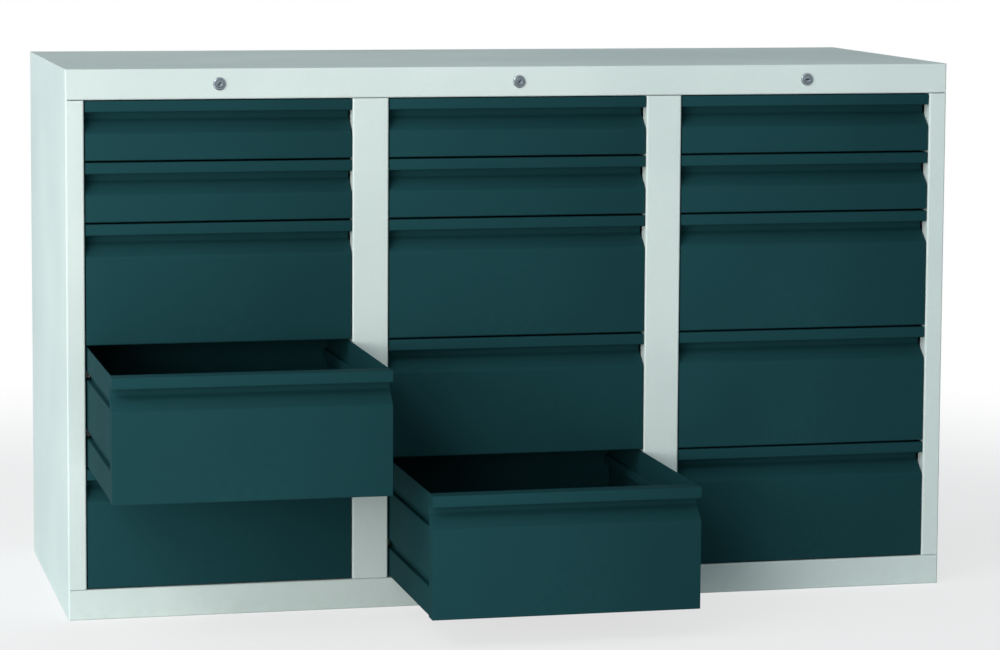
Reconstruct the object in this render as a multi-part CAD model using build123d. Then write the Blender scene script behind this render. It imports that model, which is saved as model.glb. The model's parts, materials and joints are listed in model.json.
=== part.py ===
from build123d import *
import os
from math import cos, radians, sin

os.makedirs("parts", exist_ok=True)

# Laboratory drawer cabinet of folded sheet steel: three columns of five drawers, one lock a column.
# Millimetres. The origin is on the floor at the middle of the carcass: X right, Y back, Z up.

# Carcass
opening_width = 440.0  # clear width of a column between its stiles
side_stile = 30.0
mid_stile = 60.0
carcass_depth = 600.0
top_rail = 50.0
bottom_rail = 50.0
carcass_sheet = 1.5
carcass_bend = 1.5  # inside radius of the carcass folds
flange_bend = 1.0  # inside radius at the rear flanges, less than the back sheet
stile_return = 25.0
rear_flange = 20.0
back_sheet = 1.2
mullion_depth = 27.0
divider_flange = 25.0
seam = 0.8  # open joint between a stile and a rail
notch_length = 14.0  # small notch in each upper side edge
notch_depth = 2.5
left_notch_y = 50.0
right_notch_y = 180.0

# Drawer rows from the top
small_pitch = 100.0
large_pitch = 200.0
row_pitches = (small_pitch, small_pitch, large_pitch, large_pitch, large_pitch)
row_gap = 3.0  # between two fronts

# Drawer fronts
front_side_gap = 2.0
front_setback = 1.0
front_depth = 30.0
drawer_sheet = 1.0
drawer_bend = 1.5  # inside radius of the drawer folds
lip_height = 18.5
recess_wall = 12.5  # upright back of the finger recess
recess_slope = 23.0  # height in which the recess comes forward again
recess_bend = 5.0

# Drawer trays
tray_side_gap = 3.0
rear_space = 36.0  # between the trays and the back panel, for the lock bars
tray_rise = 1.0  # tray floor above the lower edge of its front
groove_drops = (40.0, 136.0)  # groove roofs below the top of a tray, as many as fit
groove_height = 14.0
groove_depth = 8.0
groove_bend = 0.5
groove_foot = 12.0  # least height of a groove above the tray floor
partition_slots = 5
partition_pitch = 70.0
partition_slot_width = 2.0
partition_slot_height = 14.0
partition_slot_drop = 8.0

# Slides
drawer_travel = 420.0
shown_travel = 350.0  # how far the two open drawers stand out
open_drawers = (("left", 4), ("centre", 5))
rail_back_gap = 45.0  # from the end of a rail to the back panel
rail_web = 22.0
rail_bend = 0.5
rail_lip = 8.0
rail_drop = 1.5  # rail arm below the groove roof
rail_tip_gap = 1.5
closed_gap = 0.5
glide_length = 30.0
glide_width = 6.5
glide_gap = 0.4
lug_height = 4.0
lug_length = 12.0
lug_gap = 0.5

# Catch on the back of a tray
catch_width = 40.0
catch_reach = 13.0
catch_sheet = 1.5
catch_bend = 0.8
catch_lip = 12.0
catch_drop = 25.0  # below the top of the tray

# Locks
housing_diameter = 18.0
housing_length = 22.0
bezel_diameter = 22.0
bezel_height = 3.0
plug_diameter = 12.0
plug_gap = 0.15
plug_proud = 0.5
keyway_width = 1.6
keyway_length = 7.0
keyway_depth = 6.0
keyway_turns = {"left": 60.0, "centre": 60.0, "right": 15.0}  # degrees from level
nut_width = 24.0
nut_thickness = 5.0
hole_gap = 0.2
shaft_diameter = 8.0
collar_diameter = 16.0
collar_length = 5.0
collar_gap = 0.5
crank_radius = 8.0
crank_thickness = 5.0
crank_rim = 2.5
pin_diameter = 5.0
pin_tip = 2.0
lock_turn = 90.0
bearing_half_width = 12.0
bearing_length = 12.0
bearing_wall = 5.0
bearing_gap = 0.2
bearing_back_gap = 30.0  # from the rear bearing to the crank

# Lock bars
bar_width = 30.0
bar_thickness = 3.0
bar_gap = 1.5  # to the catches and to the crank
bar_slot_gap = 0.5
bar_end = 6.0
bar_foot = 40.0  # below the lowest guide
finger_width = 14.0
finger_thickness = 3.0
finger_gap = 1.5  # finger in front of a catch lip
finger_clear = 2.0  # finger below a catch lip when unlocked
finger_web_clear = 1.5
guide_rows = (3, 5)
guide_drop = 60.0  # below the catch lip of its row
guide_height = 16.0
guide_wall = 5.0
guide_lip = 2.0
guide_gap = 0.5

# Rivets of the back panel
rivet_diameter = 3.2
rivet_head = 6.5
rivet_head_height = 1.2
rivet_crown = 0.8  # share of the head's height that is rounded
rivets_up = 7
rivets_across = 4
rivet_inset = 40.0

# Places that follow from the sizes
columns = {"left": -1, "centre": 0, "right": 1}
column_pitch = opening_width + mid_stile
carcass_half = (len(columns) * column_pitch - mid_stile) / 2 + side_stile
carcass_height = bottom_rail + sum(row_pitches) + top_rail
front_y = -carcass_depth / 2
back_y = carcass_depth / 2
opening_top = carcass_height - top_rail
front_half = opening_width / 2 - front_side_gap
tray_half = opening_width / 2 - tray_side_gap
fold_out = carcass_bend + carcass_sheet
panel_inner = carcass_half - carcass_sheet
mullion_back = front_y + mullion_depth
panel_back = back_y - carcass_sheet
back_inner = panel_back - back_sheet
drawer_front_y = front_y + front_setback
tray_start = drawer_front_y + front_depth
tray_end = back_inner - rear_space
rail_start = tray_start + drawer_sheet + closed_gap
lip_back_y = tray_end + catch_reach
bar_front = lip_back_y + bar_gap
lock_z = carcass_height - top_rail / 2
crank_rise = 2 * crank_radius * sin(radians(lock_turn / 2))


def slab(x0, x1, y0, y1, z0, z1):
    middle = Pos((x0 + x1) / 2, (y0 + y1) / 2, (z0 + z1) / 2)
    return middle * Box(abs(x1 - x0), abs(y1 - y0), abs(z1 - z0))


def rod(diameter, x, z, y0, y1):
    """A round piece along Y."""
    return Pos(x, (y0 + y1) / 2, z) * Rot(90, 0, 0) * Cylinder(diameter / 2, y1 - y0)


def along_x(section, x0, x1):
    """A section drawn as (y, z), run from x0 to x1."""
    return Pos(x0, 0, 0) * (Plane.YZ * extrude(section, amount=x1 - x0))


def along_y(section, y0, y1):
    """A section drawn as (x, z), run from y0 to y1."""
    return Pos(0, y0, 0) * (Plane.XZ * extrude(section, amount=y0 - y1))


def along_z(section, z0, z1):
    """A section drawn as (x, y), run from z0 to z1."""
    return Pos(0, 0, z0) * extrude(section, amount=z1 - z0)


def fold_lines(points, sheet, bends):
    """The two faces of a folded sheet: the points run along one, the sheet lies on their left."""
    near = [Vector(*point) for point in points]
    runs = [(b - a).normalized() for a, b in zip(near, near[1:])]
    lefts = [Vector(-run.Y, run.X) for run in runs]
    far = [near[0] + lefts[0] * sheet]
    near_radii = []
    far_radii = []
    for corner in range(1, len(near) - 1):
        before = lefts[corner - 1]
        after = lefts[corner]
        far.append(near[corner] + (before + after) * (sheet / (1 + before.dot(after))))
        left_turn = runs[corner - 1].cross(runs[corner]).Z > 0
        bend = bends[corner - 1]
        near_radii.append(bend + sheet if left_turn else bend)
        far_radii.append(bend if left_turn else bend + sheet)
    far.append(near[-1] + lefts[-1] * sheet)
    return FilletPolyline(*near, radius=near_radii), FilletPolyline(*far, radius=far_radii)


def folded(points, sheet, bends):
    near, far = fold_lines(points, sheet, bends)
    return make_face([near, Line(near @ 1, far @ 1), far, Line(far @ 0, near @ 0)])


def enclosed(points, sheet, bends):
    """The whole area inside the outer face of a folded sheet, closed straight across its ends."""
    near, _ = fold_lines(points, sheet, bends)
    return make_face([near, Line(near @ 1, near @ 0)])


def mirrored(shape):
    return mirror(shape, Plane.YZ)


def equal_bends(bend, points):
    return [bend] * (len(points) - 2)


# Carcass pieces


def side_panel(notch_y):
    """Right side: outer wall, front stile with its return, flange at the back."""
    points = [
        (carcass_half - side_stile, front_y + stile_return),
        (carcass_half - side_stile, front_y),
        (carcass_half, front_y),
        (carcass_half, back_y),
        (carcass_half - rear_flange, back_y),
    ]
    bends = [carcass_bend, carcass_bend, flange_bend]
    panel = along_z(folded(points, carcass_sheet, bends), 0, carcass_height)
    stile_foot = bottom_rail + seam
    stile_head = opening_top - seam
    inner = carcass_half - side_stile - carcass_sheet
    reach = front_y + stile_return + carcass_sheet
    for low, high in ((0, stile_foot), (stile_head, carcass_height)):
        panel -= slab(inner, carcass_half - fold_out, front_y, reach, low, high)
    return panel - edge_notch(notch_y)


def edge_notch(notch_y):
    half = notch_length / 2
    low = carcass_height - notch_depth
    return slab(panel_inner, carcass_half, notch_y - half, notch_y + half, low, carcass_height)


def rail_pan(rail_height):
    """Flat panel at floor level with its front face, return and rear flange, folded upwards."""
    points = [
        (front_y + stile_return, rail_height),
        (front_y, rail_height),
        (front_y, 0),
        (back_y, 0),
        (back_y, rear_flange),
    ]
    bends = [carcass_bend, carcass_bend, flange_bend]
    half = carcass_half - fold_out
    pan = along_x(folded(points, carcass_sheet, bends), -half, half)
    corner_y = panel_back - flange_bend
    for side in (-1, 1):
        flange_end = side * (carcass_half - rear_flange)
        pan += slab(side * half, side * panel_inner, front_y + fold_out, corner_y, 0, carcass_sheet)
        pan -= slab(flange_end, side * half, corner_y, back_y, 0, rear_flange)
    return pan


def base_panel():
    return rail_pan(bottom_rail)


def top_panel():
    pan = Pos(0, 0, carcass_height) * mirror(rail_pan(top_rail), Plane.XY)
    hole = housing_diameter + 2 * hole_gap
    for column in columns.values():
        pan -= rod(hole, column * column_pitch, lock_z, front_y, front_y + carcass_sheet)
    return pan


def back_panel():
    half = panel_inner - flange_bend
    edge = carcass_sheet + flange_bend
    return slab(-half, half, back_inner, panel_back, edge, carcass_height - edge)


def mullion():
    """Closed stile box at the middle, x = 0."""
    walls = 2 * carcass_sheet
    section = RectangleRounded(mid_stile, mullion_depth, fold_out)
    section -= RectangleRounded(mid_stile - walls, mullion_depth - walls, carcass_bend)
    middle = Pos(0, front_y + mullion_depth / 2, 0)
    return middle * along_z(section, bottom_rail + seam, opening_top - seam)


def divider():
    """Wall between two columns, at x = 0, with a flange on the mullion and one on the back."""
    face = carcass_sheet / 2
    points = [
        (face + divider_flange, mullion_back),
        (-face, mullion_back),
        (-face, back_inner),
        (face + divider_flange, back_inner),
    ]
    wall = folded(points[::-1], carcass_sheet, equal_bends(carcass_bend, points))
    return along_z(wall, carcass_sheet, carcass_height - carcass_sheet)


# Drawer pieces


def front_points(height):
    """Outer line of a front as (y, z): strip, lip, recess, slope, face, lower return."""
    recess = front_depth - drawer_sheet
    return [
        (front_depth, height),
        (0, height),
        (0, height - lip_height),
        (recess, height - lip_height),
        (recess, height - lip_height - recess_wall),
        (0, height - lip_height - recess_wall - recess_slope),
        (0, 0),
        (front_depth, 0),
    ]


def drawer_front(height):
    points = front_points(height)
    bends = [drawer_bend, drawer_bend, drawer_bend, recess_bend, recess_bend, drawer_bend]
    front = along_x(folded(points, drawer_sheet, bends), -front_half, front_half)
    cap = enclosed(points, drawer_sheet, bends)
    front += along_x(cap, -front_half, -front_half + drawer_sheet)
    front += along_x(cap, front_half - drawer_sheet, front_half)
    return Pos(0, drawer_front_y, 0) * front


def groove_roofs(height):
    """Heights of the groove roofs above the lower edge of the front."""
    lowest = tray_rise + drawer_sheet + groove_foot + groove_height
    return [height - drop for drop in groove_drops if height - drop >= lowest]


def tray_points(height):
    """Outer line of a tray section as (x, z), down the left side and up the right."""
    down = [(-tray_half, height)]
    for roof in groove_roofs(height):
        down.append((-tray_half, roof))
        down.append((-tray_half + groove_depth, roof))
        down.append((-tray_half + groove_depth, roof - groove_height))
        down.append((-tray_half, roof - groove_height))
    down.append((-tray_half, tray_rise))
    return down + [(-x, z) for x, z in reversed(down)]


def drawer_tray(height):
    points = tray_points(height)
    bends = equal_bends(groove_bend, points)
    tray = along_y(folded(points, drawer_sheet, bends), tray_start, tray_end)
    tray += along_y(enclosed(points, drawer_sheet, bends), tray_end - drawer_sheet, tray_end)
    tray += slab(-tray_half, tray_half, tray_start, tray_start + drawer_sheet, tray_rise, height)
    for place in range(partition_slots):
        x = (place - (partition_slots - 1) / 2) * partition_pitch
        half = partition_slot_width / 2
        top = height - partition_slot_drop
        low = top - partition_slot_height
        tray -= slab(x - half, x + half, tray_end - drawer_sheet, tray_end, low, top)
    for roof in groove_roofs(height):
        lug = stop_lug(roof)
        tray += lug + mirrored(lug)
    return tray + tray_catch(height)


def stop_lug(roof):
    """Stop pressed in the foot of a groove; it meets the glide when the drawer is fully out."""
    start = rail_start + glide_length + drawer_travel + lug_gap
    foot = roof - groove_height
    outer = tray_half - drawer_sheet / 2
    inner = outer - groove_depth
    return slab(inner, outer, start, start + lug_length, foot - drawer_sheet, foot + lug_height)


def tray_catch(height):
    """Tab behind the tray with a lip turned down for the lock finger."""
    top = height - catch_drop
    points = [(lip_back_y, top - catch_lip), (lip_back_y, top), (tray_end, top)]
    section = folded(points, catch_sheet, equal_bends(catch_bend, points))
    return along_x(section, -catch_width / 2, catch_width / 2)


# Rails and glides


def wall_half(column, side):
    """Distance from the middle of a column to the wall on one side."""
    outer = column * side > 0
    return panel_inner - column_pitch if outer else column_pitch / 2 - carcass_sheet / 2


def rail_tip():
    return tray_half - groove_depth + rail_tip_gap


def rail(wall, roof):
    """Right-hand rail of a column: web on the wall, arm in the groove, lip turned down."""
    arm = roof - rail_drop
    points = [(wall, arm - rail_web), (wall, arm), (rail_tip(), arm), (rail_tip(), arm - rail_lip)]
    section = folded(points, carcass_sheet, equal_bends(rail_bend, points))
    return along_y(section, rail_start, back_inner - rail_back_gap)


def glide(wall, roof):
    """Nylon sleeve clipped round the front end of a rail arm."""
    inner = tray_half - groove_depth + glide_gap
    end = rail_start + glide_length
    low = roof - groove_height + glide_gap
    block = slab(inner, inner + glide_width, rail_start, end, low, roof - glide_gap)
    return block - rail(wall, roof)


def each_rail(column, shape):
    """One piece for each groove on both sides of a column, made by shape(wall, roof)."""
    made = []
    for row_low, height in rows():
        for roof in groove_roofs(height):
            for side in (-1, 1):
                piece = shape(wall_half(column, side), roof)
                piece = mirrored(piece) if side < 0 else piece
                made.append(Pos(column * column_pitch, 0, row_low) * piece)
    return made


def rows():
    """Lower edge and height of each front, from the top row down."""
    found = []
    row_top = opening_top
    for pitch in row_pitches:
        row_top -= pitch
        found.append((row_top + row_gap / 2, pitch - row_gap))
    return found


# Locks


def lock_housing():
    """Cylinder lock body at x = 0, bezel in front of the rail and thread behind it."""
    bezel = rod(bezel_diameter, 0, lock_z, front_y - bezel_height, front_y)
    bezel = chamfer(bezel.edges().sort_by(Axis.Y)[0], bezel_height / 3)
    body = rod(housing_diameter, 0, lock_z, front_y, front_y + housing_length)
    bore = plug_diameter + 2 * plug_gap
    return bezel + body - rod(bore, 0, lock_z, front_y - bezel_height, front_y + housing_length)


def lock_nut():
    start = front_y + carcass_sheet
    hexagon = RegularPolygon(nut_width / 2, 6, major_radius=False)
    nut = Pos(0, 0, lock_z) * along_y(hexagon, start, start + nut_thickness)
    return nut - rod(housing_diameter, 0, lock_z, start, start + nut_thickness)


def lock_plug(keyway_turn):
    nose = front_y - bezel_height - plug_proud
    tail = front_y + housing_length + collar_gap
    plug = rod(plug_diameter, 0, lock_z, nose, tail)
    keyway = Box(keyway_length, keyway_depth, keyway_width)
    return plug - Pos(0, nose + keyway_depth / 2, lock_z) * Rot(0, -keyway_turn, 0) * keyway


def crank_start():
    return bar_front - bar_gap - crank_thickness


def lock_shaft():
    """Long shaft at x = 0 with a collar on the plug and a crank pin at the back, low and left."""
    tail = front_y + housing_length + collar_gap
    start = crank_start()
    shaft = rod(collar_diameter, 0, lock_z, tail, tail + collar_length)
    shaft += rod(shaft_diameter, 0, lock_z, tail, start)
    disc = 2 * (crank_radius + pin_diameter / 2 + crank_rim)
    shaft += rod(disc, 0, lock_z, start, start + crank_thickness)
    pin_x, pin_z = pin_place()
    shaft += rod(pin_diameter, pin_x, pin_z, start, bar_front + bar_thickness + pin_tip)
    return shaft


def pin_place():
    swing = radians(lock_turn / 2)
    return -crank_radius * cos(swing), lock_z - crank_radius * sin(swing)


def bearing_places():
    """Middles of the two bearings of a shaft, one half way and one near the crank."""
    rear = crank_start() - bearing_back_gap
    return (front_y + housing_length + rear) / 2, rear


def shaft_bearing(y):
    """Block hung under the top panel, bored for the shaft."""
    half = bearing_length / 2
    low = lock_z - shaft_diameter / 2 - bearing_wall
    top = carcass_height - carcass_sheet
    block = slab(-bearing_half_width, bearing_half_width, y - half, y + half, low, top)
    return block - rod(shaft_diameter + 2 * bearing_gap, 0, lock_z, y - half, y + half)


def lock_bar():
    """Bar behind a column, one finger under each catch, a level slot for the crank pin."""
    pin_x, pin_z = pin_place()
    half_slot = pin_diameter / 2 + bar_slot_gap
    top = pin_z + half_slot + bar_end
    bar_back = bar_front + bar_thickness
    foot = min(guide_heights()) - bar_foot
    bar = slab(-bar_width / 2, bar_width / 2, bar_front, bar_back, foot, top)
    slot_ends = (-crank_radius - half_slot, pin_x + half_slot)
    bar -= slab(*slot_ends, bar_front, bar_back, pin_z - half_slot, pin_z + half_slot)
    for lip_low in lip_heights():
        bar += lock_finger(lip_low)
    return bar


def lip_heights():
    """Lower ends of the catch lips of a column, from the top row down."""
    return [row_low + height - catch_drop - catch_lip for row_low, height in rows()]


def guide_heights():
    return [lip_heights()[row - 1] - guide_drop for row in guide_rows]


def lock_finger(lip_low):
    """Finger bent forward and up from the bar, below a catch lip that ends at lip_low."""
    tip = lip_low - finger_clear
    web_top = lip_low - crank_rise - finger_web_clear
    web_low = web_top - finger_thickness
    tip_back = lip_back_y - catch_sheet - finger_gap
    tip_front = tip_back - finger_thickness
    half = finger_width / 2
    finger = slab(-half, half, tip_front, tip_back, web_low, tip)
    return finger + slab(-half, half, tip_front, bar_front, web_low, web_top)


def bar_guide(z):
    """Sleeve on the back panel that the lock bar runs through."""
    inner = bar_width / 2 + guide_gap
    half = guide_height / 2
    outer = inner + guide_wall
    start = bar_front - guide_gap
    end = bar_front + bar_thickness + guide_gap
    block = slab(-outer, outer, start - guide_lip, back_inner, z - half, z + half)
    return block - slab(-inner, inner, start, end, z - half, z + half)


# Rivets of the back panel


def rivet_rows():
    """Heights of the rivets of one upright flange."""
    step = (carcass_height - 2 * rivet_inset) / (rivets_up - 1)
    return [rivet_inset + step * number for number in range(rivets_up)]


def edge_rivets():
    """Rivets through the flanges of the sides, top and base, as (x, z)."""
    inset = (rear_flange + fold_out) / 2
    across = column_pitch / rivets_across
    count = len(columns) * rivets_across
    level = [(number - (count - 1) / 2) * across for number in range(count)]
    places = [(side * (carcass_half - inset), z) for side in (-1, 1) for z in rivet_rows()]
    return places + [(x, z) for x in level for z in (inset, carcass_height - inset)]


def divider_rivets():
    """Rivets through the rear flanges of the dividers, as (x, z)."""
    inset = (divider_flange + fold_out) / 2
    walls = [side * column_pitch / 2 for side in (-1, 1)]
    return [(x + inset, z) for x in walls for z in rivet_rows()]


def rivet(x, z, head_y, tip_y):
    """Domed head against the face at head_y, shank forward to tip_y."""
    dome = rod(rivet_head, x, z, head_y, head_y + rivet_head_height)
    dome = fillet(dome.edges().sort_by(Axis.Y)[-1], rivet_head_height * rivet_crown)
    return dome + rod(rivet_diameter, x, z, tip_y, head_y)


def with_holes(shape, places, start, end):
    return shape - [rod(rivet_diameter, x, z, start, end) for x, z in places]


# Build and write the pieces


def group(solids):
    return Compound(children=list(solids))


divider_front = back_inner - carcass_sheet
edge_places = edge_rivets()
divider_places = divider_rivets()
pieces = {
    "side_panel_left": with_holes(mirrored(side_panel(left_notch_y)), edge_places, panel_back, back_y),
    "side_panel_right": with_holes(side_panel(right_notch_y), edge_places, panel_back, back_y),
    "top_panel": with_holes(top_panel(), edge_places, panel_back, back_y),
    "base_panel": with_holes(base_panel(), edge_places, panel_back, back_y),
    "back_panel": with_holes(back_panel(), edge_places + divider_places, back_inner, panel_back),
}
rivets = [rivet(x, z, back_y, back_inner) for x, z in edge_places]
rivets += [rivet(x, z, panel_back, divider_front) for x, z in divider_places]
pieces["back_rivets"] = group(rivets)

for name, side in (("left", -1), ("right", 1)):
    place = Pos(side * column_pitch / 2, 0, 0)
    pieces["mullion_" + name] = place * mullion()
    pieces["divider_" + name] = with_holes(place * divider(), divider_places, divider_front, back_inner)

glides = []
for name, column in columns.items():
    pieces["rails_" + name] = group(each_rail(column, rail))
    glides += each_rail(column, glide)
pieces["rail_glides"] = group(glides)

heights = {pitch - row_gap for pitch in row_pitches}
fronts = {height: drawer_front(height) for height in heights}
trays = {height: drawer_tray(height) for height in heights}
for name, column in columns.items():
    for number, (row_low, height) in enumerate(rows(), start=1):
        out = shown_travel if (name, number) in open_drawers else 0
        place = Pos(column * column_pitch, -out, row_low)
        drawer = "drawer_" + name + "_" + str(number)
        pieces[drawer + "_front"] = place * fronts[height]
        pieces[drawer + "_tray"] = place * trays[height]

column_places = {name: Pos(column * column_pitch, 0, 0) for name, column in columns.items()}
pieces["lock_housings"] = group([place * lock_housing() for place in column_places.values()])
pieces["lock_nuts"] = group([place * lock_nut() for place in column_places.values()])
bearings = [place * shaft_bearing(y) for place in column_places.values() for y in bearing_places()]
pieces["shaft_bearings"] = group(bearings)
guides = [place * bar_guide(z) for place in column_places.values() for z in guide_heights()]
pieces["bar_guides"] = group(guides)
for name, place in column_places.items():
    pieces["lock_plug_" + name] = place * lock_plug(keyway_turns[name])
    pieces["lock_shaft_" + name] = place * lock_shaft()
    pieces["lock_bar_" + name] = place * lock_bar()

for name, piece in pieces.items():
    export_step(piece, "parts/" + name + ".step")
print(len(pieces), "pieces")
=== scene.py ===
import json
from math import cos, pi, radians, sin
import bmesh
import bpy
from mathutils import Matrix, Vector


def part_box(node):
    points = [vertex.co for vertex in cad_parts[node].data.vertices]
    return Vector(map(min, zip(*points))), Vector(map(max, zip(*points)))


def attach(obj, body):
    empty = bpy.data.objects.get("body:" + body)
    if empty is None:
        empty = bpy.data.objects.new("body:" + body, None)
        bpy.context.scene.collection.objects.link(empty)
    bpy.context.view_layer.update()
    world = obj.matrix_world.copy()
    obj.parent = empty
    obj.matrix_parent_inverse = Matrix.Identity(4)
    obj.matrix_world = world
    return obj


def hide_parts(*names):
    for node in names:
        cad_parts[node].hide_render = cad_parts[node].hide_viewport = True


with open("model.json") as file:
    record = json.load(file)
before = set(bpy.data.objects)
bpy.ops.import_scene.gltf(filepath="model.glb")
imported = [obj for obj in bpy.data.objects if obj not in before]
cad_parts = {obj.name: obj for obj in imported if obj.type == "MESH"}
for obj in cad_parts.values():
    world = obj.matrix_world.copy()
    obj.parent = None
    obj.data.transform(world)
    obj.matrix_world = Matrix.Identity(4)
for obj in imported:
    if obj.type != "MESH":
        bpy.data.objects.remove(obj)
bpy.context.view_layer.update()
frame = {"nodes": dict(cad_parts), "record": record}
nodes = frame["nodes"]
bodies = frame["record"]["behaviour"]["bodies"]


# camera and light

photoCamera = {
    "place": (-1.3044, -5.7123, 1.1889),
    "turn": 0.2310,  # from straight ahead towards +X
    "down": 0.0990,
    "tilt": 0.0057,
    "lens": 121.15,
    "shiftY": -0.10,
}


def addCamera(look):
    data = bpy.data.cameras.new("photoCamera")
    data.lens = look["lens"]
    data.sensor_width = 36.0
    data.shift_y = look["shiftY"]
    data.clip_end = 60.0
    camera = bpy.data.objects.new("photoCamera", data)
    turned = Matrix.Rotation(-look["turn"], 4, "Z") @ Matrix.Rotation(pi / 2 - look["down"], 4, "X")
    turned = turned @ Matrix.Rotation(look["tilt"], 4, "Z")
    camera.matrix_world = Matrix.Translation(look["place"]) @ turned
    bpy.context.scene.collection.objects.link(camera)
    bpy.context.scene.camera = camera


studioLamps = {
    # name: (place, aimed at, width, height, watts, seen in reflections)
    "keyLamp": ((-2.4, -2.3, 1.9), (-0.1, -0.3, 0.5), 4.6, 3.0, 29.0, False),
    "frontLamp": ((-2.7, -3.9, 0.75), (-0.1, -0.3, 0.35), 2.6, 1.2, 68.0, False),
    "backLamp": ((1.2, 4.2, 0.45), (0.0, 0.3, 0.45), 2.4, 0.8, 60.0, False),
    "glintLamp": ((-2.4, -2.8, 2.6), (0.0, -0.3, 0.88), 1.1, 0.8, 22.0, True),
}
lampTint = (1.0, 0.985, 0.95)


def addLamp(name, place, target, width, height, watts, mirrored):
    data = bpy.data.lights.new(name, "AREA")
    data.shape = "RECTANGLE"
    data.size = width
    data.size_y = height
    data.energy = watts
    data.color = lampTint
    lamp = bpy.data.objects.new(name, data)
    lamp.visible_glossy = mirrored
    aim = Vector(target) - Vector(place)
    turned = aim.to_track_quat("-Z", "Y").to_matrix().to_4x4()
    lamp.matrix_world = Matrix.Translation(place) @ turned
    bpy.context.scene.collection.objects.link(lamp)


addCamera(photoCamera)
for lampName, lamp in studioLamps.items():
    addLamp(lampName, *lamp)
bpy.context.scene.view_settings.view_transform = "Standard"
print("camera and lamps set")


# shader maths


class Wire:
    # a socket of a node tree: arithmetic on it adds Math nodes
    def __init__(self, tree, socket):
        self.tree = tree
        self.socket = socket

    def node(self, kind, settings=None, inputs=None, output=0):
        added = self.tree.nodes.new(kind)
        for name, value in (settings or {}).items():
            setattr(added, name, value)
        for name, value in (inputs or {}).items():
            if isinstance(value, Wire):
                self.tree.links.new(value.socket, added.inputs[name])
            else:
                added.inputs[name].default_value = value
        return Wire(self.tree, added.outputs[output])

    def math(self, operation, first, second=None, clamped=False):
        inputs = {0: first} if second is None else {0: first, 1: second}
        return self.node("ShaderNodeMath", {"operation": operation, "use_clamp": clamped}, inputs)

    def __add__(self, other):
        return self.math("ADD", self, other)

    def __sub__(self, other):
        return self.math("SUBTRACT", self, other)

    def __rsub__(self, other):
        return self.math("SUBTRACT", other, self)

    def __mul__(self, other):
        return self.math("MULTIPLY", self, other)

    __radd__ = __add__
    __rmul__ = __mul__

    def clamped(self):
        return self.math("ADD", self, 0.0, clamped=True)

    def between(self, low, high):
        # 0 at low, 1 at high, smooth in between
        settings = {"interpolation_type": "SMOOTHSTEP"}
        return self.node("ShaderNodeMapRange", settings, {"Value": self, "From Min": low, "From Max": high})

    def mix(self, first, second):
        # colours: the first where this value is 0, the second where it is 1
        inputs = {"Factor": self, 6: first, 7: second}
        return self.node("ShaderNodeMix", {"data_type": "RGBA"}, inputs, output=2)


def band(value, edges):
    # 1 between the two middle edges, fading to 0 at the outer two
    start, full, fade, end = edges
    return value.between(start, full) * (1 - value.between(fade, end))


def linear(*screen):
    # screen colour, 0 to 255, as the linear colour that a shader takes
    part = [value / 255 for value in screen]
    return tuple(v / 12.92 if v < 0.04045 else ((v + 0.055) / 1.055) ** 2.4 for v in part) + (1.0,)


class Finish:
    # a new material: its Object coordinates, its shader and the links to it
    def __init__(self, name, settings):
        self.material = bpy.data.materials.new(name)
        self.material.use_nodes = True
        self.tree = self.material.node_tree
        self.shader = self.tree.nodes["Principled BSDF"]
        for socket, value in settings.items():
            self.shader.inputs[socket].default_value = value
        self.start = Wire(self.tree, None)
        self.place = self.start.node("ShaderNodeTexCoord", output=3)

    def noise(self, size, detail=2.0):
        inputs = {"Vector": self.place, "Scale": 1 / size, "Detail": detail, "Roughness": 0.5}
        return self.start.node("ShaderNodeTexNoise", {}, inputs)

    def attribute(self, name):
        # a mesh's own value, 0 on meshes that have none
        return self.start.node("ShaderNodeAttribute", {"attribute_name": name}, output=2)

    def axis(self, letter):
        return self.start.node("ShaderNodeSeparateXYZ", {}, {0: self.place}, output="XYZ".index(letter))

    def feed(self, **wires):
        names = {"colour": "Base Color", "roughness": "Roughness", "normal": "Normal"}
        for name, wire in wires.items():
            self.tree.links.new(wire.socket, self.shader.inputs[names[name]])
        return self.material

    def bump(self, height, depth):
        return self.start.node("ShaderNodeBump", {}, {"Height": height, "Distance": depth, "Strength": 1.0})


# finishes

noiseSpan = (0.3, 0.7)  # most of what a noise gives


def powderCoat(name, look):
    # a finish with its clouded colour, its roughness and its orange peel
    coat = Finish(name, {"IOR": 1.35, "Specular IOR Level": look["sheen"]})
    cloud = coat.noise(look["cloud"], detail=4.0)
    speck = coat.noise(look["peel"] / 2, detail=1.0)
    mottle = cloud * (1 - look["speckShare"]) + speck * look["speckShare"]
    colour = mottle.between(*noiseSpan).mix(look["colour"], look["shade"])
    roughness = look["roughness"] + (cloud - 0.5) * look["wander"]
    return coat, colour, roughness, coat.bump(coat.noise(look["peel"]), look["peelDepth"])


carcassLook = {
    "colour": linear(222, 232, 227),
    "shade": linear(209, 220, 216),
    "sheen": 0.12,
    "roughness": 0.62,
    "wander": 0.12,  # of the roughness, from cloud to cloud
    "cloud": 0.35,
    "speckShare": 0.3,
    "peel": 0.0026,
    "peelDepth": 0.00006,
    "dust": linear(182, 182, 172),
    "dustBelow": 0.05,  # height above the floor
    "dustGrain": 0.02,
    "dustShare": 0.16,
    "dustRoughness": 0.3,
}


def carcassPaint(look):
    paint, colour, roughness, peel = powderCoat("carcassPaint", look)
    low = 1 - paint.axis("Z").between(0.0, look["dustBelow"])
    dust = low * paint.noise(look["dustGrain"], detail=5.0).between(0.4, 0.8) * look["dustShare"]
    colour = dust.mix(colour, look["dust"])
    return paint.feed(colour=colour, roughness=roughness + dust * look["dustRoughness"], normal=peel)


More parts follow.
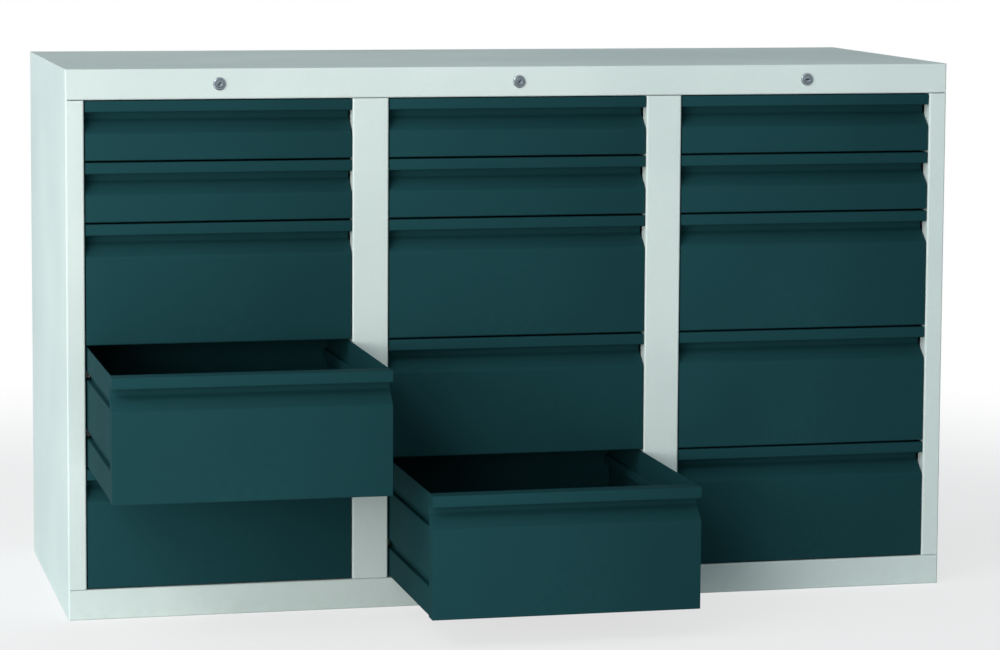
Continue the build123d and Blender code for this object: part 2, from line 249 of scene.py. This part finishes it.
drawerLook = {
    "colour": linear(28, 67, 71),
    "shade": linear(26, 63, 67),
    "sheen": 0.06,
    "roughness": 0.7,
    "wander": 0.14,
    "cloud": 0.22,
    "speckShare": 0.4,
    "peel": 0.0022,
    "peelDepth": 0.00005,
    "rubbed": linear(34, 76, 80),
    "rubShare": 0.22,
    "rubGrain": 0.012,
    "rubAlong": (0.04, 0.12, 0.18, 0.26),  # from the rear edge of the lip, down the folded line
    "rubAcross": (0.08, 0.2, 0.24, 0.36),  # from the left end of the front
    "rubRoughness": 0.6,
}


def drawerPaint(look):
    # hands rub the middle of each front, on the slope under its lip
    paint, colour, roughness, peel = powderCoat("drawerPaint", look)
    along = band(paint.attribute("along"), look["rubAlong"])
    across = band(paint.attribute("across"), look["rubAcross"])
    patchy = paint.noise(look["rubGrain"], detail=4.0).between(*noiseSpan)
    rub = along * across * patchy * look["rubShare"]
    colour = rub.mix(colour, look["rubbed"])
    return paint.feed(colour=colour, roughness=roughness - rub * look["rubRoughness"], normal=peel)


zincLook = {
    "light": linear(196, 198, 196),
    "dark": linear(150, 154, 155),
    "spangle": 0.006,
    "flakeShare": 0.6,
    "cloud": 0.08,
    "roughness": 0.28,
    "flakeRoughness": 0.14,
    "cloudRoughness": 0.1,
}


def zincSteel(look):
    zinc = Finish("zincSteel", {"Metallic": 1.0})
    cells = {"Vector": zinc.place, "Scale": 1 / look["spangle"]}
    grain = zinc.start.node("ShaderNodeTexVoronoi", {}, cells, output=1)
    flake = zinc.start.node("ShaderNodeSeparateColor", {}, {0: grain})
    cloud = zinc.noise(look["cloud"], detail=4.0)
    mottle = flake * look["flakeShare"] + cloud * (1 - look["flakeShare"])
    colour = mottle.mix(look["light"], look["dark"])
    roughness = look["roughness"] + flake * look["flakeRoughness"] + cloud * look["cloudRoughness"]
    return zinc.feed(colour=colour, roughness=roughness)


chromeLook = {
    "colour": linear(182, 189, 194),
    # dark: painted shade, the colour deep in the keyway where shade falls
    "dark": linear(40, 44, 48),
    "roughness": 0.1,
    "wear": 0.003,
    "wearRoughness": 0.16,
    "deepRoughness": 0.4,
}


def chromePlate(look):
    chrome = Finish("chromePlate", {"Metallic": 1.0})
    wear = chrome.noise(look["wear"], detail=4.0)
    # painted shade: deep in the keyway the colour turns to the dark colour, as shade would fall there; the
    # same depth mask also makes it rougher
    deepShade = chrome.attribute("deep")
    colour = deepShade.mix(look["colour"], look["dark"])
    roughness = look["roughness"] + (wear - 0.4) * look["wearRoughness"] + deepShade * look["deepRoughness"]
    return chrome.feed(colour=colour, roughness=roughness)


nylonLook = {
    "light": linear(226, 226, 218),
    "dark": linear(206, 206, 196),
    "cloud": 0.01,
    "grain": 0.0008,
    "grainDepth": 0.00003,
    "roughness": 0.45,
    "wander": 0.2,
}


def nylonPlastic(look):
    nylon = Finish("nylonPlastic", {"IOR": 1.53})
    cloud = nylon.noise(look["cloud"], detail=3.0)
    grain = nylon.noise(look["grain"])
    colour = cloud.between(*noiseSpan).mix(look["light"], look["dark"])
    roughness = look["roughness"] + (grain - 0.5) * look["wander"]
    return nylon.feed(colour=colour, roughness=roughness, normal=nylon.bump(grain, look["grainDepth"]))


finishes = {
    "carcass_paint": carcassPaint(carcassLook),
    "drawer_paint": drawerPaint(drawerLook),
    "zinc_steel": zincSteel(zincLook),
    "chrome": chromePlate(chromeLook),
    "nylon": nylonPlastic(nylonLook),
}

for name, node in nodes.items():
    for place in node.material_slots:
        place.material = finishes[place.material.name.split(".")[0]]
print("finishes set:", len(finishes))


# trees of nodes that make meshes

mergeGap = 1e-6  # corners closer than this are one


class Recipe:
    # a Geometry Nodes tree with named inputs
    def __init__(self, name, inputs):
        self.tree = bpy.data.node_groups.new(name, "GeometryNodeTree")
        self.keys = {}
        self.addSocket("Geometry", "Geometry", "INPUT")
        self.addSocket("Geometry", "Geometry", "OUTPUT")
        for label, kind in inputs.items():
            self.keys[label] = self.addSocket(label, kind, "INPUT").identifier
        self.entry = self.tree.nodes.new("NodeGroupInput")
        self.start = Wire(self.tree, self.entry.outputs["Geometry"])

    def addSocket(self, label, kind, way):
        return self.tree.interface.new_socket(label, in_out=way, socket_type="NodeSocket" + kind)

    def value(self, label):
        return Wire(self.tree, self.entry.outputs[label])

    def close(self, geometry, material):
        single = geometry.node("GeometryNodeRealizeInstances", {}, {"Geometry": geometry})
        painted = single.node("GeometryNodeSetMaterial", {}, {"Geometry": single, "Material": material})
        leave = self.tree.nodes.new("NodeGroupOutput")
        self.tree.links.new(painted.socket, leave.inputs["Geometry"])

    def run(self, name, source, values):
        # the tree's result on a source mesh, as a plain mesh object
        draft = bpy.data.objects.new(name + "Draft", source)
        bpy.context.scene.collection.objects.link(draft)
        modifier = draft.modifiers.new("recipe", "NODES")
        modifier.node_group = self.tree
        for label, value in values.items():
            modifier[self.keys[label]] = value
        return settled(name, draft)


def stored(geometry, name, value):
    settings = {"data_type": "FLOAT", "domain": "POINT"}
    inputs = {"Geometry": geometry, "Name": name, "Value": value}
    return geometry.node("GeometryNodeStoreNamedAttribute", settings, inputs)


def joined(parts):
    tree = parts[0].tree
    join = tree.nodes.new("GeometryNodeJoinGeometry")
    for part in parts:
        tree.links.new(part.socket, join.inputs[0])
    return Wire(tree, join.outputs[0])


def settled(name, draft):
    # the evaluated draft as a new object with no modifiers; the draft is removed
    graph = bpy.context.evaluated_depsgraph_get()
    mesh = bpy.data.meshes.new_from_object(draft.evaluated_get(graph))
    bpy.data.meshes.remove(draft.data)
    mesh.name = name
    piece = bpy.data.objects.new(name, mesh)
    bpy.context.scene.collection.objects.link(piece)
    return piece


def outward(piece):
    # merged corners and faces that all point out
    work = bmesh.new()
    work.from_mesh(piece.data)
    bmesh.ops.remove_doubles(work, verts=work.verts, dist=mergeGap)
    bmesh.ops.recalc_face_normals(work, faces=work.faces)
    work.to_mesh(piece.data)
    work.free()


def smoothed(piece, angle=35.0):
    piece.data.shade_smooth()
    piece.data.set_sharp_from_angle(angle=radians(angle))


def polyline(name, corners):
    # open line through (x, y, bend) corners, with the bend kept as an attribute
    mesh = bpy.data.meshes.new(name)
    runs = [(number, number + 1) for number in range(len(corners) - 1)]
    mesh.from_pydata([(x, y, 0.0) for x, y, bend in corners], runs, [])
    bends = mesh.attributes.new("bend", "FLOAT", "POINT")
    bends.data.foreach_set("value", [bend for x, y, bend in corners])
    return mesh


# drawer fronts: one folded sheet each, run across and closed at both ends

frontShape = {
    "depth": 0.030,
    "lip": 0.0185,
    "wall": 0.0125,
    "slope": 0.023,
    "sheet": 0.001,
    "foldBend": 0.0025,  # outside radius of the square folds
    "innerBend": 0.0015,
    "recessBend": 0.005,
    "brink": 0.008,  # where the slope meets the face
    "steps": 8,
    "edge": 0.0003,
    "edgeAngle": 50,
}


def frontCorners(height, look):
    # outer line as (back, up, bend), from the rear edge of the top strip to the lower return
    depth = look["depth"]
    deep = depth - look["sheet"]
    under = height - look["lip"]
    foot = under - look["wall"]
    return [
        (depth, height, 0.0),
        (0.0, height, look["foldBend"]),
        (0.0, under, look["foldBend"]),
        (deep, under, look["innerBend"]),
        (deep, foot, look["recessBend"]),
        (0.0, foot - look["slope"], look["brink"]),
        (0.0, 0.0, look["foldBend"]),
        (depth, 0.0, 0.0),
    ]


def foldedSheetRecipe(material):
    recipe = Recipe("foldedSheet", {"Width": "Float", "Bend Steps": "Int"})
    start = recipe.start
    line = start.node("GeometryNodeMeshToCurve", {}, {"Mesh": start})
    bend = start.node("GeometryNodeInputNamedAttribute", {"data_type": "FLOAT"}, {"Name": "bend"})
    steps = recipe.value("Bend Steps")
    bends = {"Curve": line, "Count": steps, "Radius": bend, "Limit Radius": True}
    line = start.node("GeometryNodeFilletCurve", {"mode": "POLY"}, bends)
    length = start.node("GeometryNodeSplineParameter", output=1)
    line = stored(line, "along", length)
    wire = start.node("GeometryNodeCurveToMesh", {}, {"Curve": line})
    up = start.node("ShaderNodeCombineXYZ", {}, {"Z": recipe.value("Width")})
    sheet = start.node("GeometryNodeExtrudeMesh", {"mode": "EDGES"}, {"Mesh": wire, "Offset": up})
    ring = start.node("GeometryNodeSetSplineCyclic", {}, {"Geometry": line, "Cyclic": True})
    cap = start.node("GeometryNodeFillCurve", {"mode": "NGONS"}, {"Curve": ring})
    far = start.node("GeometryNodeTransform", {}, {"Geometry": cap, "Translation": up})
    closed = joined([sheet, cap, far])
    place = start.node("GeometryNodeInputPosition")
    across = start.node("ShaderNodeSeparateXYZ", {}, {0: place}, output=2)
    closed = stored(closed, "across", across)
    closed = start.node("GeometryNodeMergeByDistance", {}, {"Geometry": closed, "Distance": mergeGap * 10})
    turned = {"Geometry": closed, "Rotation": (pi / 2, 0.0, pi / 2)}
    recipe.close(start.node("GeometryNodeTransform", {}, turned), material)
    return recipe


def drawerFront(drawer, recipe, look):
    low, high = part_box(drawer + "_front")
    corners = frontCorners(high.z - low.z, look)
    values = {"Width": high.x - low.x, "Bend Steps": look["steps"]}
    piece = recipe.run(drawer + "_face", polyline(drawer, corners), values)
    outward(piece)
    wall = piece.modifiers.new("wall", "SOLIDIFY")
    wall.thickness = look["sheet"]
    wall.offset = -1.0
    wall.use_even_offset = True
    edge = piece.modifiers.new("edge", "BEVEL")
    edge.width = look["edge"]
    edge.segments = 2
    edge.limit_method = "ANGLE"
    edge.angle_limit = radians(look["edgeAngle"])
    piece = settled(drawer + "_face", piece)
    piece.data.transform(Matrix.Translation(low))
    for point in piece.data.vertices:
        point.co.y = min(point.co.y, high.y)
    smoothed(piece)
    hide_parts(drawer + "_front")
    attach(piece, drawer)


drawers = [body for body in bodies if body.startswith("drawer_")]
frontRecipe = foldedSheetRecipe(finishes["drawer_paint"])
for drawer in drawers:
    drawerFront(drawer, frontRecipe, frontShape)
print("drawer fronts made:", len(drawers))


# turned parts: outlines of (radius, along) spun about a line along Y


def turned(name, outline, steps):
    # an outline that starts on the axis stays open there, any other is closed
    solid = outline[0][0] == 0.0
    work = bmesh.new()
    ring = [work.verts.new((radius, along, 0.0)) for radius, along in outline]
    pairs = zip(ring, ring[1:] if solid else ring[1:] + ring[:1])
    lines = [work.edges.new(pair) for pair in pairs]
    turn = {"axis": (0, 1, 0), "cent": (0, 0, 0), "angle": 2 * pi, "steps": steps, "use_merge": True}
    bmesh.ops.spin(work, geom=ring + lines, **turn)
    bmesh.ops.remove_doubles(work, verts=work.verts, dist=mergeGap)
    bmesh.ops.dissolve_degenerate(work, edges=work.edges, dist=mergeGap / 10)
    bmesh.ops.recalc_face_normals(work, faces=work.faces)
    mesh = bpy.data.meshes.new(name)
    work.to_mesh(mesh)
    work.free()
    piece = bpy.data.objects.new(name, mesh)
    bpy.context.scene.collection.objects.link(piece)
    return piece


def arc(centre, radii, start, end, steps):
    # points of an ellipse between two angles in degrees
    turns = [radians(start + (end - start) * step / steps) for step in range(steps + 1)]
    return [(centre[0] + radii[0] * cos(turn), centre[1] + radii[1] * sin(turn)) for turn in turns]


# rivets of the back panel

rivetLook = {
    "shank": 0.0016,
    "rim": 0.0004,  # upright edge of the head
    "mouth": 0.0011,  # hole in the crown where the pin broke off
    "sink": 0.0004,  # depth of that hole at its wall
    "sinkMiddle": 0.00032,
    "around": 20,
    "crownSteps": 5,
    "turnSpread": 3.1,  # radians about the rivet's own axis
    "sizeSpread": 0.03,
    "seed": 7,
}


def islands(node):
    # lowest and highest corner of each separate solid of a node
    work = bmesh.new()
    work.from_mesh(nodes[node].data)
    bmesh.ops.remove_doubles(work, verts=work.verts, dist=mergeGap)
    left = set(work.verts)
    found = []
    while left:
        fringe = [left.pop()]
        places = []
        while fringe:
            point = fringe.pop()
            places.append(tuple(point.co))
            near = [edge.other_vert(point) for edge in point.link_edges]
            fresh = [other for other in near if other in left]
            left.difference_update(fresh)
            fringe += fresh
        columns = list(zip(*places))
        found.append((Vector(map(min, columns)), Vector(map(max, columns))))
    work.free()
    return sorted(found, key=lambda box: (round(box[0].x, 4), round(box[0].z, 4)))


def rivetOutline(radius, crown, tip, look):
    # head outside the panel at positive values, shank inside at negative ones
    shank, mouth, rim = look["shank"], look["mouth"], look["rim"]
    dome = arc((mouth, rim), (radius - mouth, crown - rim), 0, 90, look["crownSteps"])
    hole = [(mouth, crown - look["sink"]), (0.0, crown - look["sinkMiddle"])]
    return [(0.0, tip), (shank, tip), (shank, 0.0), (radius, 0.0)] + dome + hole


def copiesRecipe(material):
    kinds = {"Copy": "Object", "Turn": "Float", "Size Spread": "Float", "Seed": "Int"}
    recipe = Recipe("copiesAtPoints", kinds)
    start = recipe.start
    seed = recipe.value("Seed")
    spread = recipe.value("Size Spread")
    copy = start.node("GeometryNodeObjectInfo", {}, {"Object": recipe.value("Copy")}, output=4)
    roll = start.node("FunctionNodeRandomValue", {}, {3: recipe.value("Turn"), "Seed": seed}, output=1)
    size = start.node("FunctionNodeRandomValue", {}, {2: 1 - spread, 3: 1.0, "Seed": seed + 1}, output=1)
    turn = start.node("ShaderNodeCombineXYZ", {}, {"Y": roll})
    inputs = {"Points": start, "Instance": copy, "Rotation": turn, "Scale": size}
    recipe.close(start.node("GeometryNodeInstanceOnPoints", {}, inputs), material)
    return recipe


def backRivets(look):
    solids = islands("back_rivets")
    low, high = solids[0]
    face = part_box("side_panel_left")[1].y
    outline = rivetOutline((high.x - low.x) / 2, high.y - face, low.y - face, look)
    rivet = turned("rivet", outline, look["around"])
    points = bpy.data.meshes.new("rivetPoints")
    centres = [((near.x + far.x) / 2, face, (near.z + far.z) / 2) for near, far in solids]
    points.from_pydata(centres, [], [])
    values = {"Turn": look["turnSpread"], "Size Spread": look["sizeSpread"], "Seed": look["seed"]}
    piece = copiesRecipe(finishes["zinc_steel"]).run("backRivets", points, {"Copy": rivet, **values})
    bpy.data.meshes.remove(rivet.data)
    smoothed(piece)
    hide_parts("back_rivets")
    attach(piece, "cabinet")
    print("rivets made:", len(solids))


backRivets(rivetLook)


# locks in the top rail

lockLook = {
    "around": 64,
    "body": 0.009,
    "threadPitch": 0.0015,
    "threadDepth": 0.0005,
    "threadStart": 0.002,
    "plug": 0.006,
    "bore": 0.00615,
    "rimRise": 0.0006,  # upright edge of the bezel before its crown
    "crownIn": 0.0032,
    "crownSteps": 8,
    "inner": 0.0069,
    "innerSink": 0.0007,
    "dish": 0.0043,
    "dishSink": 0.0003,
    "plugEdge": 0.0004,
    "keyLength": 0.007,
    "keyWidth": 0.0022,
    "keyDepth": 0.006,
    "keyAhead": 0.001,  # start of the cut, in front of the nose
    "ribGap": 0.45,  # share of the slot's width beside a rib
    "ribSpan": (0.15, 0.25, 0.6, 0.7),  # shares of half the slot's length
    # depth behind the plug's edge over which the painted keyway shade grows to full
    "shadeDepth": 0.002,
    "keyEdge": 0.00012,
    "keyEdgeAngle": 40,
    "turns": {"left": 60.0, "centre": 60.0, "right": 15.0},  # keyways, degrees from level
}


def housingOutline(radius, height, length, look):
    # the rail's face is at 0, the bezel in front of it at negative values
    body, bore, pitch, inner = look["body"], look["bore"], look["threadPitch"], look["inner"]
    middle = (radius - look["crownIn"], -look["rimRise"])
    crown = arc(middle, (look["crownIn"], height - look["rimRise"]), 0, -90, look["crownSteps"])
    thread = []
    for tooth in range(int((length - look["threadStart"]) / pitch)):
        along = length - tooth * pitch
        thread += [(body - look["threadDepth"], along), (body, along - pitch / 2)]
    sunk = look["innerSink"] - height
    mouth = [(inner, -height), (inner - look["innerSink"] / 2, sunk), (bore, sunk)]
    return [(bore, length)] + thread + [(body, 0.0), (radius, 0.0)] + crown + mouth


def plugOutline(length, look):
    # the nose is at 0 and the tail at length
    dish, sink, plug, edge = look["dish"], look["dishSink"], look["plug"], look["plugEdge"]
    nose = [(0.0, sink), (dish, sink), (dish + sink, 0.0)]
    return nose + [(plug - edge, 0.0), (plug, edge), (plug, length), (0.0, length)]


def keyCutter(look):
    # a slot with one rib on each side, as (across, up), from in front of the nose
    half, tall = look["keyLength"] / 2, look["keyWidth"] / 2
    rib = tall * look["ribGap"]
    start, full, fade, end = [half * share for share in look["ribSpan"]]
    upper = [(-half, tall), (start, tall), (full, rib), (fade, rib), (end, tall), (half, tall)]
    outline = upper + [(-x, -z) for x, z in upper]
    mesh = bpy.data.meshes.new("keyCutter")
    work = bmesh.new()
    face = work.faces.new([work.verts.new((x, -look["keyAhead"], z)) for x, z in outline])
    far = bmesh.ops.extrude_face_region(work, geom=[face])["geom"]
    corners = [item for item in far if isinstance(item, bmesh.types.BMVert)]
    shift = Vector((0.0, look["keyAhead"] + look["keyDepth"], 0.0))
    bmesh.ops.translate(work, verts=corners, vec=shift)
    bmesh.ops.recalc_face_normals(work, faces=work.faces)
    work.to_mesh(mesh)
    work.free()
    cutter = bpy.data.objects.new("keyCutter", mesh)
    bpy.context.scene.collection.objects.link(cutter)
    return cutter


def lockPlug(column, look):
    node = "lock_plug_" + column
    low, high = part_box(node)
    plug = turned(node + "_face", plugOutline(high.y - low.y, look), look["around"])
    cutter = keyCutter(look)
    cut = plug.modifiers.new("keyway", "BOOLEAN")
    cut.operation = "DIFFERENCE"
    cut.object = cutter
    cut.solver = "EXACT"
    edge = plug.modifiers.new("edge", "BEVEL")
    edge.width = look["keyEdge"]
    edge.segments = 2
    edge.limit_method = "ANGLE"
    edge.angle_limit = radians(look["keyEdgeAngle"])
    plug = settled(node + "_face", plug)
    bpy.data.meshes.remove(cutter.data)
    # a depth value per corner for the chrome's painted shade: 0 at the nose, 1 deeper in the keyway
    deep = plug.data.attributes.new("deep", "FLOAT", "POINT")
    depths = [(point.co.y - look["plugEdge"]) / look["shadeDepth"] for point in plug.data.vertices]
    deep.data.foreach_set("value", [min(max(depth, 0.0), 1.0) for depth in depths])
    centre = Vector(((low.x + high.x) / 2, low.y, (low.z + high.z) / 2))
    turn = Matrix.Rotation(radians(-look["turns"][column]), 4, "Y")
    plug.data.transform(Matrix.Translation(centre) @ turn)
    plug.data.materials.append(finishes["chrome"])
    smoothed(plug)
    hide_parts(node)
    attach(plug, "lock_" + column)


def lockHousings(columns, look):
    low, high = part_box("lock_housings")
    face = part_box("side_panel_left")[0].y
    outline = housingOutline((high.z - low.z) / 2, face - low.y, high.y - face, look)
    housing = turned("housing", outline, look["around"])
    work = bmesh.new()
    for column in columns:
        near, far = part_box("lock_plug_" + column)
        place = Matrix.Translation(((near.x + far.x) / 2, face, (near.z + far.z) / 2))
        copy = housing.data.copy()
        copy.transform(place)
        work.from_mesh(copy)
        bpy.data.meshes.remove(copy)
    work.to_mesh(housing.data)
    work.free()
    housing.name = housing.data.name = "lockHousings"
    housing.data.materials.append(finishes["chrome"])
    smoothed(housing)
    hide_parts("lock_housings")
    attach(housing, "cabinet")


for column in lockLook["turns"]:
    lockPlug(column, lockLook)
lockHousings(lockLook["turns"], lockLook)
print("locks made:", len(lockLook["turns"]))


# stage

stageLook = {"half": 14.0, "clearFrom": 1.1, "clearTo": 2.6, "glow": 0.7}


def stageFloor(look):
    mesh = bpy.data.meshes.new("studioFloor")
    half = look["half"]
    corners = [(-half, -half, 0), (half, -half, 0), (half, half, 0), (-half, half, 0)]
    mesh.from_pydata(corners, [], [(0, 1, 2, 3)])
    floor = bpy.data.objects.new("studioFloor", mesh)
    bpy.context.scene.collection.objects.link(floor)
    white = Finish("studioWhite", {"Base Color": (0.8, 0.8, 0.8, 1.0), "Roughness": 0.9})
    start = white.start
    seen = start.node("ShaderNodeLightPath")
    span = start.node("ShaderNodeVectorMath", {"operation": "LENGTH"}, {0: white.place}, output=1)
    clear = span.between(look["clearFrom"], look["clearTo"])
    share = seen * (look["glow"] + clear * (1 - look["glow"]))
    glow = start.node("ShaderNodeEmission", {}, {"Color": (1, 1, 1, 1), "Strength": 1.0})
    shader = Wire(white.tree, white.shader.outputs[0])
    mixed = start.node("ShaderNodeMixShader", {}, {0: share, 1: shader, 2: glow})
    white.tree.links.new(mixed.socket, white.tree.nodes["Material Output"].inputs[0])
    mesh.materials.append(white.material)


worldLook = {
    "tint": (0.81, 0.95, 1.03, 1.0),
    "roomShade": 0.8,
    "roomSpan": (0.1, 0.9),
    "fill": 0.21,
    "overhead": 0.4,  # share of the fill that is missing straight above
    "overheadSpan": (0.2, 0.9),
    "window": (-0.92, -0.36, 0.13),  # towards the middle of the large soft light
    "windowGain": 0.98,
}


def setWorld(look):
    # white to the camera, a large soft light on the object, and a darker room behind the camera
    world = bpy.data.worlds.new("studioWorld")
    bpy.context.scene.world = world
    world.use_nodes = True
    tree = world.node_tree
    start = Wire(tree, None)
    rays = start.node("ShaderNodeLightPath")
    glossy = Wire(tree, rays.socket.node.outputs["Is Glossy Ray"])
    through = Wire(tree, rays.socket.node.outputs["Is Transmission Ray"])
    way = start.node("ShaderNodeTexCoord", output=3)
    back = start.node("ShaderNodeSeparateXYZ", {}, {0: way}, output=1)
    room = (0 - back).between(*look["roomSpan"]) * look["roomShade"]
    mirrored = (glossy + through).clamped() * (1 - room)
    shown = (rays + mirrored).clamped()
    ahead = {0: way, 1: look["window"]}
    window = start.node("ShaderNodeVectorMath", {"operation": "DOT_PRODUCT"}, ahead, output=1)
    up = start.node("ShaderNodeSeparateXYZ", {}, {0: way}, output=2)
    fill = look["fill"] * (1 - up.between(*look["overheadSpan"]) * look["overhead"])
    fill = fill + window.between(0.0, 1.0) * look["windowGain"]
    background = tree.nodes["Background"]
    tree.links.new(shown.mix(look["tint"], (1, 1, 1, 1)).socket, background.inputs["Color"])
    tree.links.new((fill + shown * (1 - fill)).socket, background.inputs["Strength"])


stageFloor(stageLook)
setWorld(worldLook)
print("stage set")
